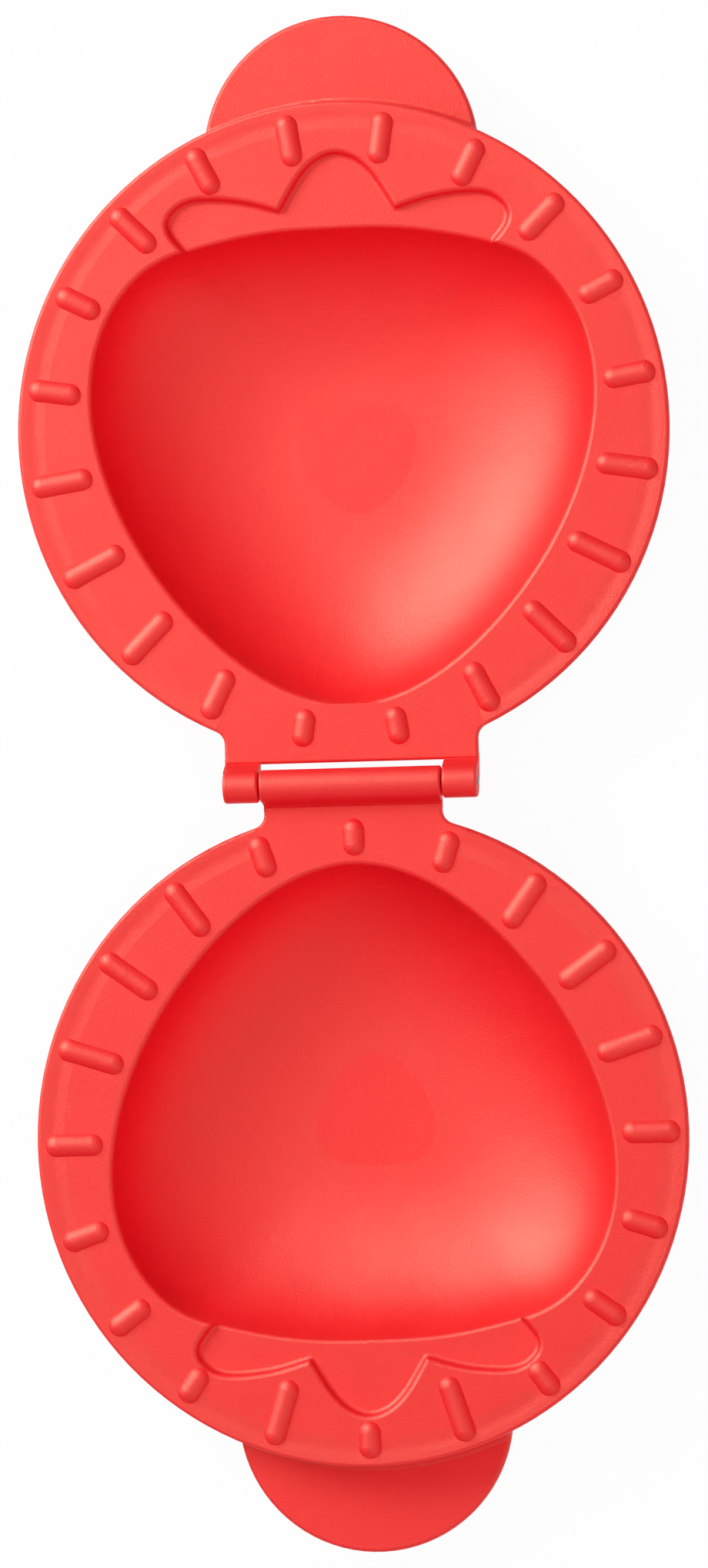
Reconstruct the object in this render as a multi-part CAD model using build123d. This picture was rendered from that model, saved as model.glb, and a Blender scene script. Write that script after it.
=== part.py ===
from build123d import *
import os
from math import acos, atan2, cos, hypot, pi, sin, sqrt

# Strawberry hand-pie press, opened flat with both hollows up, as it lies on a table.
# Two one-piece plastic mouldings turn on one pin.  Each moulding is a round rim plate with
# a strawberry-shaped bowl, a sunken crown of leaves, raised crimping ribs, a stepped-down
# thumb tab and a neck that ends in hinge knuckles.
# Millimetres.  Origin: on the table under the middle of the hinge.  X runs along the hinge,
# Y from the lower half (one long barrel) to the upper half (two short knuckles), Z is up.

# --- Rim plates and necks ---
DISC_RADIUS = 60.0          # round rim plate
PLATE = 2.0                 # thickness of rim plate, neck and tab
HINGE_TO_RIM = 4.8          # hinge axis to the nearest point of each rim plate
EDGE_ROUND = 0.6            # rounding round the outside of the plate
LIP_WIDTH = 5.0             # width of the band inside the edge where the face leaves its plane
LIP_DIP = 0.1               # depth of the shallow valley inside the raised edge
LIP_TO_VALLEY = 1.8         # from the band's inner side to the valley's lowest line
LIP_RISE = 0.1              # height of the raised edge over the face
UPPER_NECK = 46.7           # width of the neck with the two outer knuckles
LOWER_NECK = 32.8           # width of the neck with the middle barrel
NECK_ROUND = 2.6            # inside corner between neck and rim plate

# --- Bowls ---
BOWL_DEPTH = 22.0
WALL = 2.0                  # bowl wall
FLOOR_SHARE = 0.24          # size of the flat floor against the mouth
BOWL_HEART = -DISC_RADIUS / 15  # the floor's middle, from the disc centre toward the tab
BOWL_FULLNESS = 0.85        # 1 is an elliptical hollow, less has steeper walls
BOWL_LEVELS = 8             # sections from mouth to floor
MOUTH_ROUND = 0.015 * DISC_RADIUS  # rounded edge where the face falls into bowl or crown
# Right-hand half of the mouth, from the shoulder under the leaves round to the tip, in
# shares of the rim plate's radius.
BERRY = (
    (0.0, 0.6133), (0.2317, 0.6033), (0.4167, 0.5683), (0.5717, 0.5133),
    (0.6883, 0.3967), (0.7533, 0.245), (0.7683, 0.08), (0.7217, -0.1533),
    (0.625, -0.3617), (0.4917, -0.5467), (0.3167, -0.7117), (0.17, -0.7967),
    (0.0, -0.8333),
)

# --- Crown of leaves, sunk beside the bowl's shoulder ---
CROWN_DEPTH = 0.03 * DISC_RADIUS
CROWN_FLOOR = 1.2           # thickness of the plastic under the leaves
CROWN_FOOT = 0.014 * DISC_RADIUS  # rounding at its wall's foot and at its edge to the bowl
LEAF_NOTCH_ROUND = 0.0065 * DISC_RADIUS  # rounded point between two leaves
# In shares of the rim plate's radius: right-hand halves of the middle leaf, from its point,
# and of the side leaf, into the bowl.
MIDDLE_LEAF = (
    (0.0, 0.8433), (0.0667, 0.82), (0.1233, 0.76), (0.1783, 0.67),
)
SIDE_LEAF = (
    (0.1783, 0.67), (0.275, 0.6983), (0.3917, 0.7133), (0.4833, 0.6967),
    (0.5233, 0.6483), (0.48, 0.5633), (0.4, 0.4333),
)
# Swellings of the underside that hold the leaves, in the same shares: middle, half-width
# and half-length.
MIDDLE_SWELL = ((0.0, 0.667), 0.208, 0.21)
SIDE_SWELL = ((0.35, 0.617), 0.217, 0.133)

# --- Crimping ribs ---
RIB_COUNT = 20
RIB_RADIUS = 2.4
RIB_HEIGHT = 1.1
RIB_TO_EDGE = 1.5           # outer end, from the rim plate's edge
# Inner ends in shares of the rim plate's radius, each way round from the tab to the hinge.
UPPER_RIB_FEET = (
    0.815, 0.820, 0.798, 0.827, 0.812, 0.782, 0.765, 0.772, 0.810, 0.858,
)
LOWER_RIB_FEET = (
    0.862, 0.768, 0.857, 0.828, 0.828, 0.797, 0.765, 0.767, 0.782, 0.845, 0.862,
)

# --- Thumb tabs ---
TAB_RADIUS = 25.4
TAB_REACH = 16.25           # tip of the tab, from the rim plate's edge
TAB_DROP = 9.0              # tab face below the rim face
TAB_ROUND = 0.7             # rounding round the tab's outside
TAB_CORNER = 1.2            # inside corner between the tab and the step up to the rim

# --- Hinge ---
AXIS_RISE = 1.75            # hinge axis above the rim faces
KNUCKLE_RADIUS = 3.0
KNUCKLE_ROUND = 0.5         # rounded ends of the knuckles and the barrel
BARREL_OVER = 0.3           # each end of the barrel past the side of its neck
BARREL_GAP = 0.25           # end play between the barrel and each knuckle
UPPER_SLOT = 1.05           # straight edge of the upper neck, from the barrel
LOWER_SLOT = 0.6            # straight edge of the lower neck, from its own barrel
GROOVE_DEPTH = 0.25         # foot of a knuckle's flank under the face
PIN_RADIUS = 0.9
PIN_FIT = 0.05              # running clearance round the pin in the barrel
PIN_SHOW = 0.15             # each end of the pin past the knuckles
PIN_CHAMFER = 0.15

SINK = 1.0                  # how deep a joined feature runs into its neighbour
NEAR = 1e-3                 # lengths that differ by less than this are the same
FACE_Z = BOWL_DEPTH + WALL  # height of the rim faces over the table
HINGE_TO_DISC = DISC_RADIUS + HINGE_TO_RIM
LIP_START = DISC_RADIUS - LIP_WIDTH
BARREL_END = LOWER_NECK / 2 + BARREL_OVER

# Each half is drawn about its disc centre, with its tab toward +Y and its rim face at Z 0.


def sized(points, side=1):
    """An outline's points in millimetres, on the right (1) or mirrored to the left (-1)."""
    return [(side * x * DISC_RADIUS, y * DISC_RADIUS) for x, y in points]


def berry_outline(scale, height, grow=0.0):
    """The mouth's closed outline, shrunk about the bowl's heart and laid at a height."""
    left = tuple((-x, y) for x, y in BERRY[-2:0:-1])
    points = []
    for x, y in sized(BERRY + left):
        dy = y - BOWL_HEART
        stretch = scale * (1 + grow / hypot(x, dy))
        points.append((x * stretch, BOWL_HEART + dy * stretch, height))
    return Face(Wire([Spline(*points, periodic=True)]))


def bowl_filling(top, floor, grow=0.0, over=0.0):
    """The solid that fills a strawberry-shaped bowl, from its mouth down to its flat floor."""
    sections = []
    if over:
        sections.append(berry_outline(1.0, top + over, grow))
    for level in range(BOWL_LEVELS):
        angle = level / BOWL_LEVELS * pi / 2
        drop = sin(angle) ** BOWL_FULLNESS
        scale = FLOOR_SHARE + (1 - FLOOR_SHARE) * cos(angle)
        sections.append(berry_outline(scale, top + (floor - top) * drop, grow))
    sections.append(berry_outline(FLOOR_SHARE, floor, grow))
    return loft(sections)


def rim_plate():
    """The round plate: a flat face, a shallow valley and a slightly raised outer edge."""
    crest = DISC_RADIUS - EDGE_ROUND
    face = Line((0, 0), (LIP_START, 0))
    valley = (LIP_START + LIP_TO_VALLEY, -LIP_DIP)
    wave = Spline((LIP_START, 0), valley, (crest, LIP_RISE), tangents=((1, 0), (1, 0)))
    top_round = JernArc((crest, LIP_RISE), (1, 0), EDGE_ROUND, -90)
    side = Line(top_round @ 1, (DISC_RADIUS, EDGE_ROUND - PLATE))
    low_round = JernArc(side @ 1, (0, -1), EDGE_ROUND, -90)
    under = Line(low_round @ 1, (0, -PLATE))
    axis = Line((0, -PLATE), (0, 0))
    profile = make_face([face, wave, top_round, side, low_round, under, axis])
    return revolve(Plane.XZ * profile, Axis.Z)


def neck_outline(width, slot):
    """The flat neck seen from above, flaring into the rim plate with rounded corners."""
    half = width / 2
    end = KNUCKLE_RADIUS + slot - HINGE_TO_DISC
    reach = DISC_RADIUS + NECK_ROUND
    corner_y = -sqrt(reach ** 2 - (half + NECK_ROUND) ** 2)
    corner = Vector(half + NECK_ROUND, corner_y)
    touch = corner * (DISC_RADIUS / reach)
    middle = corner + (touch - corner + Vector(-NECK_ROUND, 0)).normalized() * NECK_ROUND
    inside = touch * (LIP_START / DISC_RADIUS)
    side = Line((half, end), (half, corner_y))
    flare = ThreePointArc((half, corner_y), middle, touch)
    inward = Line(touch, inside)
    runs = [side, flare, inward]
    mirrored = [mirror(run, Plane.YZ) for run in runs]
    across = Line(inside, (-inside.X, inside.Y))
    edge = Line((-half, end), (half, end))
    return make_face(runs + [across] + mirrored + [edge])


def neck(outline):
    """The neck's plate, rounded along its free edges as the rim plate is."""
    plate = Pos(0, 0, -PLATE) * extrude(outline, PLATE)
    free = []
    for edge in plate.edges():
        middle = edge.position_at(0.5)
        if edge.bounding_box().size.Z < PLATE / 2 and hypot(middle.X, middle.Y) > DISC_RADIUS:
            free.append(edge)
    return fillet(free, EDGE_ROUND)


def along_hinge(radius, start, end):
    """A round bar on the hinge axis."""
    middle = (start + end) / 2
    return Pos(middle, -HINGE_TO_DISC, AXIS_RISE) * Rot(0, 90, 0) * Cylinder(radius, end - start)


def flank_touch(run):
    """Where a knuckle's flank is touched by a straight rise from the foot at a given run."""
    rise = -GROOVE_DEPTH - AXIS_RISE
    turn = atan2(rise, run) + acos(KNUCKLE_RADIUS / hypot(run, rise))
    return KNUCKLE_RADIUS * cos(turn) - HINGE_TO_DISC, AXIS_RISE + KNUCKLE_RADIUS * sin(turn)


def knuckle(start, end, slot, neck_width):
    """A round knuckle with its ends rounded, on a web that runs into the neck."""
    bar = along_hinge(KNUCKLE_RADIUS, start, end)
    bar = fillet(bar.edges().filter_by(GeomType.CIRCLE), KNUCKLE_ROUND)
    left, right = max(start, -neck_width / 2), min(end, neck_width / 2)
    axis_y = -HINGE_TO_DISC
    edge_y = axis_y + KNUCKLE_RADIUS + slot
    side = Polyline(
        (left, axis_y, AXIS_RISE), (left, *flank_touch(KNUCKLE_RADIUS + slot)),
        (left, edge_y, -GROOVE_DEPTH), (left, edge_y + SINK, -GROOVE_DEPTH),
        (left, edge_y + SINK, -PLATE), (left, edge_y, -PLATE),
        (left, axis_y, AXIS_RISE - KNUCKLE_RADIUS), close=True,
    )
    web = extrude(make_face(side), right - left, dir=(1, 0, 0))
    return bar + web


def tab():
    """The thumb tab: a round-ended plate on a step that follows the rim's edge down."""
    foot = -TAB_DROP - PLATE
    outline = Pos(0, DISC_RADIUS + TAB_REACH - TAB_RADIUS) * Rot(0, 0, -90) * Circle(TAB_RADIUS)
    pad = Pos(0, 0, foot) * extrude(outline, PLATE)
    pad = pad - Pos(0, 0, foot) * extrude(Circle(DISC_RADIUS - PLATE), PLATE)
    ring = Circle(DISC_RADIUS) - Circle(DISC_RADIUS - PLATE)
    step = ring & outline
    step = Pos(0, 0, foot) * extrude(step, TAB_DROP + PLATE - SINK)
    whole = pad + step
    corner = whole.edges().filter_by(lambda edge: is_arc(edge, DISC_RADIUS, -TAB_DROP))
    whole = fillet(corner, TAB_CORNER)
    rim = whole.edges().filter_by(lambda edge: is_arc(edge, TAB_RADIUS, -TAB_DROP)
                                  or is_arc(edge, TAB_RADIUS, foot))
    return fillet(rim, TAB_ROUND)


def is_arc(edge, radius, height):
    """Whether an edge is a level arc of a given radius at a given height."""
    if edge.geom_type != GeomType.CIRCLE:
        return False
    return abs(edge.radius - radius) < NEAR and abs(edge.arc_center.Z - height) < NEAR


def rib(foot):
    """One crimping rib: the top of a round-ended bar, lying out from the bowl to the rim."""
    centre_z = RIB_HEIGHT - RIB_RADIUS
    chord = sqrt(RIB_RADIUS ** 2 - centre_z ** 2)
    start = (0, foot * DISC_RADIUS + chord, centre_z)
    end = (0, DISC_RADIUS - RIB_TO_EDGE - chord, centre_z)
    near_end = CenterArc(start, RIB_RADIUS, 180, 90)
    far_end = CenterArc(end, RIB_RADIUS, 90, 90)
    core = Line(near_end @ 1, far_end @ 0)
    flank = Line(far_end @ 1, near_end @ 0)
    bar = revolve(make_face([near_end, core, far_end, flank]), Axis(start, (0, 1, 0)))
    under = Pos(0, 0, -SINK - 2 * RIB_RADIUS) * extrude(Circle(DISC_RADIUS), 2 * RIB_RADIUS)
    return bar - under


def crown_outline():
    """The crown from above: one middle leaf between two side leaves."""
    middle = Spline(*sized(MIDDLE_LEAF[:0:-1]), *sized(MIDDLE_LEAF, -1))
    right, left = Spline(*sized(SIDE_LEAF)), Spline(*sized(SIDE_LEAF, -1))
    return make_face([middle, right, left, Line(right @ 1, left @ 1)])


def swelling(middle, half_width, half_length, side=1):
    """One rounded swelling's outline, on the right (1) or the left (-1)."""
    (x, y), = sized([middle], side)
    return Pos(x, y) * Ellipse(half_width * DISC_RADIUS, half_length * DISC_RADIUS)


def crown_backing():
    """The swellings under the rim plate that hold the sunk leaves."""
    under = -CROWN_DEPTH - CROWN_FLOOR
    outline = swelling(*MIDDLE_SWELL) + swelling(*SIDE_SWELL) + swelling(*SIDE_SWELL, -1)
    return Pos(0, 0, under) * extrude(outline, -under - PLATE / 2)


def ribs(feet, first_angle):
    """The ring of ribs, the same on both sides of the middle line."""
    bars = []
    for step, foot in enumerate(feet):
        angle = first_angle + step * 360 / RIB_COUNT
        sides = (angle, -angle) if 0 < angle < 180 else (angle,)
        for turn in sides:
            bars.append(Rot(0, 0, turn) * rib(foot))
    return bars


def dished_plate():
    """Rim plate and bowl in one, with the crown sunk in and every edge of both rounded."""
    plate = rim_plate() + crown_backing()
    plate = plate + bowl_filling(-PLATE / 2, -BOWL_DEPTH - WALL, WALL)
    plate = plate - bowl_filling(0, -BOWL_DEPTH, over=SINK)
    plate = plate - Pos(0, 0, -CROWN_DEPTH) * extrude(crown_outline(), CROWN_DEPTH + SINK)
    notch_x = MIDDLE_LEAF[-1][0] * DISC_RADIUS
    notches = plate.edges().filter_by(Axis.Z).filter_by(
        lambda edge: abs(abs(edge.center().X) - notch_x) < NEAR and edge.center().Z > -CROWN_DEPTH
    )
    plate = fillet(notches, LEAF_NOTCH_ROUND)
    face_edges = plate.edges().filter_by(lambda edge: is_free_form(edge, 0))
    plate = fillet(face_edges, MOUTH_ROUND)
    foot_edges = plate.edges().filter_by(lambda edge: is_free_form(edge, -CROWN_DEPTH))
    return fillet(foot_edges, CROWN_FOOT)


def is_free_form(edge, height):
    """Whether an edge lies level at a height and isn't a full circle of the plate."""
    box = edge.bounding_box()
    level = abs(box.min.Z - height) < NEAR and abs(box.max.Z - height) < NEAR
    return level and not (edge.geom_type == GeomType.CIRCLE and edge.radius > LIP_START - NEAR)


def half(neck_width, slot, knuckle_spans, rib_feet, first_rib, bore):
    """A whole half of the press, drawn about its disc centre."""
    outline = neck_outline(neck_width, slot)
    moulding = dished_plate() - extrude(outline, SINK)
    moulding = moulding + neck(outline) + tab()
    for start, end in knuckle_spans:
        moulding = moulding + knuckle(start, end, slot, neck_width)
    moulding = moulding + ribs(rib_feet, first_rib)
    return moulding - along_hinge(bore, -neck_width, neck_width)


def lower_half():
    """The half on the -Y side, with the long middle barrel that turns on the pin."""
    span = (-BARREL_END, BARREL_END)
    bore = PIN_RADIUS + PIN_FIT
    moulding = half(LOWER_NECK, LOWER_SLOT, [span], LOWER_RIB_FEET, 0, bore)
    return Pos(0, -HINGE_TO_DISC, FACE_Z) * Rot(0, 0, 180) * moulding


def upper_half():
    """The half on the +Y side, with two outer knuckles that grip the pin."""
    inner = BARREL_END + BARREL_GAP
    spans = [(-UPPER_NECK / 2, -inner), (inner, UPPER_NECK / 2)]
    half_pitch = 180 / RIB_COUNT
    moulding = half(UPPER_NECK, UPPER_SLOT, spans, UPPER_RIB_FEET, half_pitch, PIN_RADIUS)
    return Pos(0, HINGE_TO_DISC, FACE_Z) * moulding


def hinge_pin():
    """The straight pin through both knuckles and the barrel."""
    length = UPPER_NECK + 2 * PIN_SHOW
    pin = Pos(0, 0, FACE_Z + AXIS_RISE) * Rot(0, 90, 0) * Cylinder(PIN_RADIUS, length)
    return chamfer(pin.edges().filter_by(GeomType.CIRCLE), PIN_CHAMFER)


PIECES = {
    "lower_half": lower_half,
    "upper_half": upper_half,
    "hinge_pin": hinge_pin,
}

os.makedirs("parts", exist_ok=True)
for name, make in PIECES.items():
    export_step(make(), f"parts/{name}.step")
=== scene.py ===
"""Looks of a strawberry-shaped hand-pie press, opened flat with both bowls up.

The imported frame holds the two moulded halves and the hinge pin.  This file gives each its
finish and sets the press on a pale floor inside a pale backdrop.  A soft key lamp hangs at
the upper left, a second lamp in its place shows in reflections only, and two broad fills
lighten the shade.  The camera looks down on the press, a little from the +X side.  Lengths
are in metres.
"""
from __future__ import annotations

import logging
import math
from dataclasses import dataclass
from enum import Enum

import bpy
from mathutils import Matrix, Vector

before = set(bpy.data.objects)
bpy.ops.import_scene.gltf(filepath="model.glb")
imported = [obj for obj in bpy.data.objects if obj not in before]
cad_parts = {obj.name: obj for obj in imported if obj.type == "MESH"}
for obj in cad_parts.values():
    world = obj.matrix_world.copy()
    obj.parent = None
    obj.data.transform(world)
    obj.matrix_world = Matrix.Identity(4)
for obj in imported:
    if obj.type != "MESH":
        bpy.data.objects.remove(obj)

LOG = logging.getLogger("pie_press")
MILLIMETRE = 0.001
WHITE = (1.0, 1.0, 1.0, 1.0)

Triple = tuple[float, float, float]


class Half(Enum):
    """The two moulded halves, by the name of their node."""

    LOWER = "lower_half"
    UPPER = "upper_half"


class Way(Enum):
    """Whether a number enters a shader group or leaves it."""

    IN = "INPUT"
    OUT = "OUTPUT"


def socket(group: bpy.types.NodeTree, name: str, way: Way, value: float | None = None) -> None:
    """Adds a number's socket to a shader group.

    Args:
        group: The group's tree.
        name: The socket's name.
        way: Whether the number enters or leaves.
        value: An input's default.
    """
    made = group.interface.new_socket(
        name=name, in_out=way.value, socket_type="NodeSocketFloat"
    )
    if value is not None:
        made.default_value = value


def node(tree: bpy.types.NodeTree, kind: str, **settings: object) -> bpy.types.Node:
    """Adds a shader node and sets its properties.

    Args:
        tree: The tree that gets the node.
        kind: The node's type, without the leading ShaderNode.
        **settings: Properties of the node.

    Returns:
        The new node.
    """
    made = tree.nodes.new(f"ShaderNode{kind}")
    for name, value in settings.items():
        setattr(made, name, value)
    return made


def cell_noise(
    tree: bpy.types.NodeTree, size: bpy.types.NodeSocket, detail: float, crispness: float
) -> bpy.types.NodeSocket:
    """Adds a noise in the piece's own coordinates.

    Args:
        tree: The tree that gets the noise.
        size: The socket that gives the size of the noise's cells.
        detail: How many finer layers the noise has.
        crispness: How strong each finer layer is against the one before.

    Returns:
        The socket with the noise's value.
    """
    place = node(tree, "TexCoord")
    scale = node(tree, "Math", operation="DIVIDE")
    scale.inputs[0].default_value = 1.0
    made = node(tree, "TexNoise", noise_dimensions="3D")
    made.inputs["Detail"].default_value = detail
    made.inputs["Roughness"].default_value = crispness
    tree.links.new(size, scale.inputs[1])
    tree.links.new(scale.outputs[0], made.inputs["Scale"])
    tree.links.new(place.outputs["Object"], made.inputs["Vector"])
    return made.outputs["Fac"]


@dataclass(frozen=True)
class MouldedSkin:
    """The skin that a textured mould leaves: fine grain over slow waves of flow."""

    name: str = "moulded_skin"
    grain_detail: float = 3.0
    grain_crispness: float = 0.6
    flow_detail: float = 2.0
    flow_crispness: float = 0.45
    grain_in_gloss: float = 0.35

    def group(self) -> bpy.types.NodeTree:
        """Builds the skin's shader group.

        Returns:
            A group with the inputs Grain Size, Flow Size and Flow Share, the height of the
            waves against the grain's, and the outputs Height, Gloss and Depth.
        """
        group = bpy.data.node_groups.new(self.name, "ShaderNodeTree")
        socket(group, "Grain Size", Way.IN, MILLIMETRE)
        socket(group, "Flow Size", Way.IN, MILLIMETRE)
        socket(group, "Flow Share", Way.IN, 1.0)
        for name in ("Height", "Gloss", "Depth"):
            socket(group, name, Way.OUT)
        enter = group.nodes.new("NodeGroupInput").outputs
        leave = group.nodes.new("NodeGroupOutput").inputs
        grain = cell_noise(group, enter["Grain Size"], self.grain_detail, self.grain_crispness)
        flow = cell_noise(group, enter["Flow Size"], self.flow_detail, self.flow_crispness)
        height = node(group, "Math", operation="MULTIPLY_ADD")
        gloss = node(group, "Math", operation="MULTIPLY_ADD")
        gloss.inputs[1].default_value = self.grain_in_gloss
        links = group.links
        links.new(flow, height.inputs[0])
        links.new(enter["Flow Share"], height.inputs[1])
        links.new(grain, height.inputs[2])
        links.new(grain, gloss.inputs[0])
        links.new(flow, gloss.inputs[2])
        links.new(height.outputs[0], leave["Height"])
        links.new(gloss.outputs[0], leave["Gloss"])
        links.new(flow, leave["Depth"])
        return group


@dataclass(frozen=True)
class MouldedPlastic:
    """The red plastic of both halves: matte, finely grained and evenly coloured."""

    name: str = "red_plastic"
    colour: Triple = (0.92, 0.0006, 0.012)
    pale: Triple = (0.95, 0.0012, 0.014)
    roughness: float = 0.50
    roughness_swing: float = 0.04
    ior: float = 1.49
    specular: float = 0.9
    specular_tint: Triple = (1.0, 0.98, 0.70)
    grain_size: float = 0.30 * MILLIMETRE
    grain_height: float = 0.075 * MILLIMETRE
    flow_size: float = 9 * MILLIMETRE
    flow_height: float = 0.11 * MILLIMETRE

    def material(self, skin: bpy.types.NodeTree) -> bpy.types.Material:
        """Builds the material.

        Args:
            skin: The moulded skin's group.

        Returns:
            The finished material.
        """
        made = bpy.data.materials.new(self.name)
        made.use_nodes = True
        tree = made.node_tree
        surface = tree.nodes["Principled BSDF"].inputs
        surface["IOR"].default_value = self.ior
        surface["Specular IOR Level"].default_value = self.specular
        surface["Specular Tint"].default_value = (*self.specular_tint, 1.0)
        texture = node(tree, "Group", node_tree=skin)
        texture.inputs["Grain Size"].default_value = self.grain_size
        texture.inputs["Flow Size"].default_value = self.flow_size
        texture.inputs["Flow Share"].default_value = self.flow_height / self.grain_height
        tint = node(tree, "Mix", data_type="RGBA")
        tint.inputs["A"].default_value = (*self.colour, 1.0)
        tint.inputs["B"].default_value = (*self.pale, 1.0)
        gloss = node(tree, "MapRange")
        gloss.inputs["To Min"].default_value = self.roughness - self.roughness_swing
        gloss.inputs["To Max"].default_value = self.roughness + self.roughness_swing
        bump = node(tree, "Bump")
        bump.inputs["Distance"].default_value = self.grain_height
        links = tree.links
        links.new(texture.outputs["Depth"], tint.inputs["Factor"])
        links.new(texture.outputs["Gloss"], gloss.inputs["Value"])
        links.new(texture.outputs["Height"], bump.inputs["Height"])
        links.new(tint.outputs["Result"], surface["Base Color"])
        links.new(gloss.outputs["Result"], surface["Roughness"])
        links.new(bump.outputs["Normal"], surface["Normal"])
        return made


@dataclass(frozen=True)
class DrawnSteel:
    """The plain wire of the hinge pin, with fine lines along it."""

    name: str = "pin_steel"
    colour: Triple = (0.20, 0.18, 0.18)
    dark_share: float = 0.9
    roughness: float = 0.32
    roughness_swing: float = 0.2
    line_size: float = 0.05 * MILLIMETRE
    line_stretch: float = 50.0
    line_height: float = 0.002 * MILLIMETRE

    def material(self) -> bpy.types.Material:
        """Builds the material.

        Returns:
            The finished material.
        """
        made = bpy.data.materials.new(self.name)
        made.use_nodes = True
        tree = made.node_tree
        surface = tree.nodes["Principled BSDF"].inputs
        surface["Metallic"].default_value = 1.0
        place = node(tree, "TexCoord")
        squeeze = node(tree, "Mapping")
        squeeze.inputs["Scale"].default_value = (1 / self.line_stretch, 1.0, 1.0)
        lines = node(tree, "TexNoise", noise_dimensions="3D")
        lines.inputs["Scale"].default_value = 1 / self.line_size
        shade = node(tree, "MapRange")
        shade.inputs["To Min"].default_value = self.roughness * (1 - self.roughness_swing)
        shade.inputs["To Max"].default_value = self.roughness * (1 + self.roughness_swing)
        tone = node(tree, "Mix", data_type="RGBA")
        dark = [part * self.dark_share for part in self.colour]
        tone.inputs["A"].default_value = (*dark, 1.0)
        tone.inputs["B"].default_value = (*self.colour, 1.0)
        bump = node(tree, "Bump")
        bump.inputs["Distance"].default_value = self.line_height
        links = tree.links
        links.new(place.outputs["Object"], squeeze.inputs["Vector"])
        links.new(squeeze.outputs["Vector"], lines.inputs["Vector"])
        links.new(lines.outputs["Fac"], shade.inputs["Value"])
        links.new(lines.outputs["Fac"], tone.inputs["Factor"])
        links.new(lines.outputs["Fac"], bump.inputs["Height"])
        links.new(shade.outputs["Result"], surface["Roughness"])
        links.new(tone.outputs["Result"], surface["Base Color"])
        links.new(bump.outputs["Normal"], surface["Normal"])
        return made


@dataclass(frozen=True)
class PaleMatte:
    """The stage's finish, which takes shadows but looks white."""

    name: str
    glow: float
    tone: float = 0.86

    def material(self) -> bpy.types.Material:
        """Builds the material.

        Returns:
            A matte material in which the camera, reflections and glass see mostly plain
            white, by the share that glow gives.
        """
        made = bpy.data.materials.new(self.name)
        made.use_nodes = True
        tree = made.node_tree
        tree.nodes.clear()
        leave = node(tree, "OutputMaterial")
        matte = node(tree, "BsdfDiffuse")
        matte.inputs["Color"].default_value = (self.tone, self.tone, self.tone, 1.0)
        white = node(tree, "Emission")
        white.inputs["Color"].default_value = WHITE
        seen = node(tree, "MixShader")
        path = node(tree, "LightPath")
        direct = node(tree, "Math", operation="MAXIMUM")
        through = node(tree, "Math", operation="MAXIMUM")
        share = node(tree, "Math", operation="MULTIPLY")
        share.inputs[1].default_value = self.glow
        links = tree.links
        links.new(path.outputs["Is Camera Ray"], direct.inputs[0])
        links.new(path.outputs["Is Glossy Ray"], direct.inputs[1])
        links.new(direct.outputs[0], through.inputs[0])
        links.new(path.outputs["Is Transmission Ray"], through.inputs[1])
        links.new(through.outputs[0], share.inputs[0])
        links.new(share.outputs[0], seen.inputs["Fac"])
        links.new(matte.outputs[0], seen.inputs[1])
        links.new(white.outputs[0], seen.inputs[2])
        links.new(seen.outputs[0], leave.inputs["Surface"])
        return made


def wear(piece: bpy.types.Object, material: bpy.types.Material) -> None:
    """Puts a material in every slot of a piece.

    Args:
        piece: The piece to dress.
        material: The material that it gets.
    """
    if not piece.material_slots:
        piece.data.materials.append(material)
    for place in piece.material_slots:
        place.material = material


@dataclass
class PressHalf:
    """One moulded half: rim plate, bowl, leaves, ribs, tab, neck and knuckles in one."""

    half: Half
    plastic: bpy.types.Material

    def dress(self) -> bpy.types.Object:
        """Gives the moulding its plastic.

        Returns:
            The half's object.
        """
        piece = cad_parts[self.half.value]
        wear(piece, self.plastic)
        return piece


@dataclass
class HingePin:
    """The straight wire pin through the knuckles and the barrel."""

    steel: bpy.types.Material
    node_name: str = "hinge_pin"

    def dress(self) -> bpy.types.Object:
        """Gives the pin its steel.

        Returns:
            The pin's object.
        """
        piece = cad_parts[self.node_name]
        wear(piece, self.steel)
        return piece


@dataclass(frozen=True)
class Softbox:
    """One square soft lamp that looks at the foot of the hinge."""

    name: str
    place: Triple
    size: float
    power: float
    lights_surfaces: bool = True
    shows_in_gloss: bool = True

    def hang(self) -> bpy.types.Object:
        """Hangs the lamp.

        Returns:
            The lamp's object.
        """
        light = bpy.data.lights.new(self.name, "AREA")
        light.shape = "SQUARE"
        light.size = self.size
        light.energy = self.power
        lamp = bpy.data.objects.new(self.name, light)
        bpy.context.scene.collection.objects.link(lamp)
        lamp.location = self.place
        lamp.rotation_euler = (-Vector(self.place)).to_track_quat("-Z", "Y").to_euler()
        lamp.visible_diffuse = self.lights_surfaces
        lamp.visible_glossy = self.shows_in_gloss
        return lamp


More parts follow.
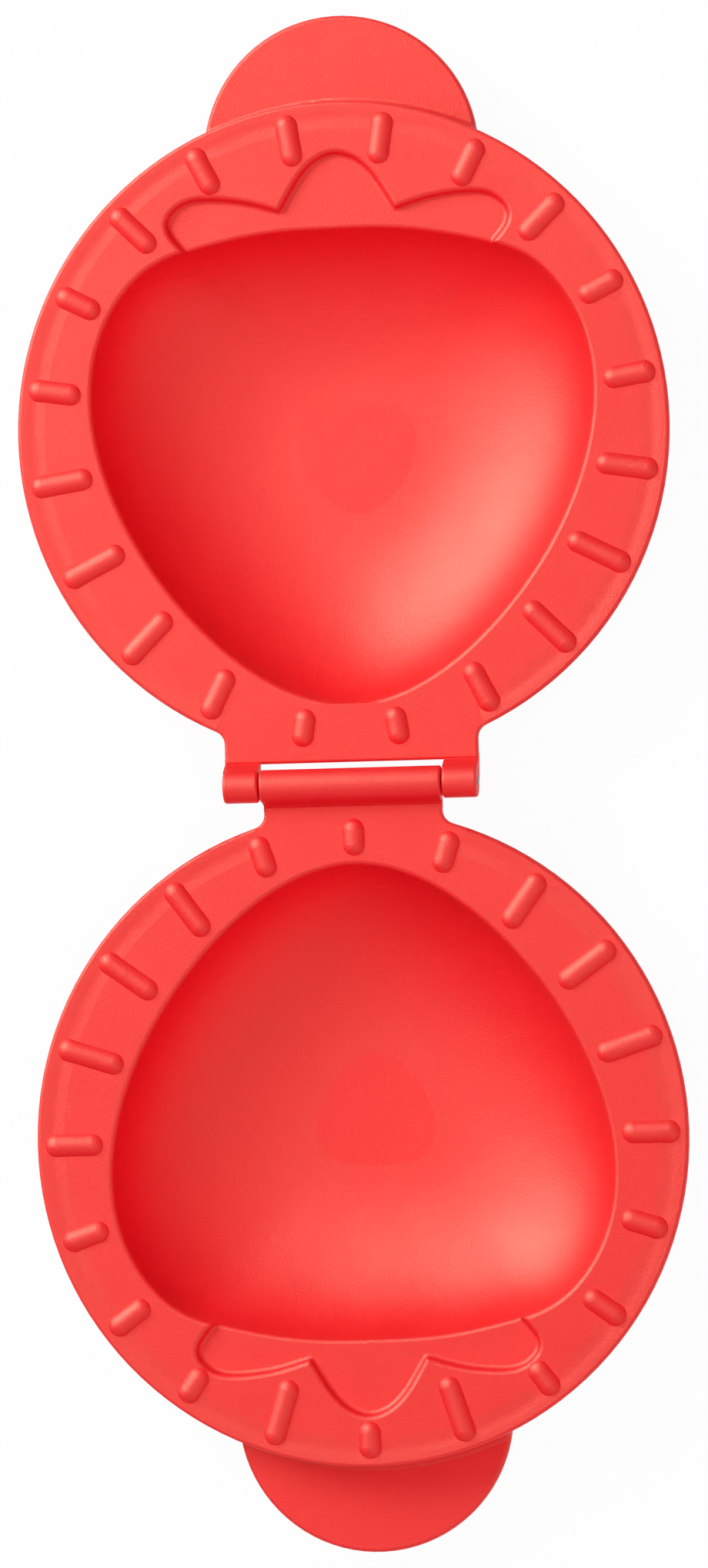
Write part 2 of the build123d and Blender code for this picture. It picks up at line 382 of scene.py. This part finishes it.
@dataclass
class Studio:
    """A pale floor and backdrop, a key lamp with its shine at the upper left, two fills."""

    floor_size: float = 16.0
    floor: PaleMatte = PaleMatte("pale_floor", glow=0.96)
    backdrop_height: float = 2.5
    backdrop: PaleMatte = PaleMatte("pale_backdrop", glow=1.0)
    surround: float = 0.04
    lamps: tuple[Softbox, ...] = (
        Softbox("key_softbox", (-0.637, 0.498, 0.588), size=0.64, power=7.0),
        Softbox(
            "key_shine", (-0.637, 0.498, 0.589), size=0.64, power=10.5, lights_surfaces=False
        ),
        Softbox("overhead_fill", (0.25, -0.2, 1.6), size=2.6, power=25.0, shows_in_gloss=False),
        Softbox("side_fill", (0.80, -0.80, 0.65), size=1.0, power=3.7, shows_in_gloss=False),
    )

    def build(self) -> None:
        """Builds the floor, the backdrop, the lamps and the surround."""
        half = self.floor_size / 2
        ring = [(-half, -half), (half, -half), (half, half), (-half, half)]
        low = [(x, y, 0.0) for x, y in ring]
        high = [(x, y, self.backdrop_height) for x, y in ring]
        walls = [(i, (i + 1) % 4, (i + 1) % 4 + 4, i + 4) for i in range(4)]
        self.stage_piece("floor", low, [(0, 1, 2, 3)], self.floor)
        self.stage_piece("backdrop", low + high, walls, self.backdrop)
        for lamp in self.lamps:
            LOG.info("hung %s", lamp.hang().name)
        self.surround_light()

    def stage_piece(
        self, name: str, corners: list[Triple], faces: list[tuple[int, ...]], finish: PaleMatte
    ) -> None:
        """Adds a piece of the stage.

        Args:
            name: The piece's name.
            corners: Its mesh's points.
            faces: Its mesh's faces.
            finish: Its finish.
        """
        mesh = bpy.data.meshes.new(name)
        mesh.from_pydata(corners, [], faces)
        mesh.materials.append(finish.material())
        piece = bpy.data.objects.new(name, mesh)
        bpy.context.scene.collection.objects.link(piece)
        LOG.info("staged %s", piece.name)

    def surround_light(self) -> None:
        """Sets the dim plain surround beyond the stage."""
        world = bpy.data.worlds.new("surround")
        bpy.context.scene.world = world
        world.use_nodes = True
        light = world.node_tree.nodes["Background"].inputs
        light["Color"].default_value = WHITE
        light["Strength"].default_value = self.surround


@dataclass
class PhotoCamera:
    """A long lens that looks down on the open press, a little from the +X side."""

    image: tuple[int, int] = (920, 2037)
    scale: float = 0.14062 * MILLIMETRE
    hinge_pixel: tuple[float, float] = (457.4, 1018.6)
    aim_height: float = 24 * MILLIMETRE
    distance: float = 2.0
    tilt: float = math.radians(7.2)
    roll: float = math.radians(1.584)
    film: float = 36.0

    def build(self) -> None:
        """Places the camera and makes it the scene's."""
        data = bpy.data.cameras.new("photo_camera")
        data.sensor_fit = "VERTICAL"
        data.sensor_height = self.film
        data.lens = self.film * self.distance / (self.image[1] * self.scale)
        camera = bpy.data.objects.new("photo_camera", data)
        bpy.context.scene.collection.objects.link(camera)
        back = Vector((math.sin(self.tilt), 0, math.cos(self.tilt)))
        across = Vector((math.cos(self.tilt), 0, -math.sin(self.tilt)))
        up = Vector((0, 1, 0))
        turn = Matrix((across, up, back)).transposed().to_4x4()
        turn = turn @ Matrix.Rotation(-self.roll, 4, "Z")
        centre_x = self.image[0] / 2 - self.hinge_pixel[0]
        centre_y = self.hinge_pixel[1] - self.image[1] / 2
        offset = turn @ Vector((centre_x * self.scale, centre_y * self.scale, 0))
        aim = Vector((0, 0, self.aim_height)) + offset
        camera.matrix_world = Matrix.Translation(aim + back * self.distance) @ turn
        bpy.context.scene.camera = camera


def main() -> None:
    """Dresses the press and builds the studio, in order, and reports each piece."""
    logging.basicConfig(level=logging.INFO, format="%(message)s")
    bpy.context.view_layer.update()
    bpy.context.scene.view_settings.view_transform = "Standard"
    plastic = MouldedPlastic().material(MouldedSkin().group())
    steel = DrawnSteel().material()
    for half in Half:
        LOG.info("dressed %s", PressHalf(half, plastic).dress().name)
    LOG.info("dressed %s", HingePin(steel).dress().name)
    Studio().build()
    PhotoCamera().build()


if __name__ == "__main__":
    main()
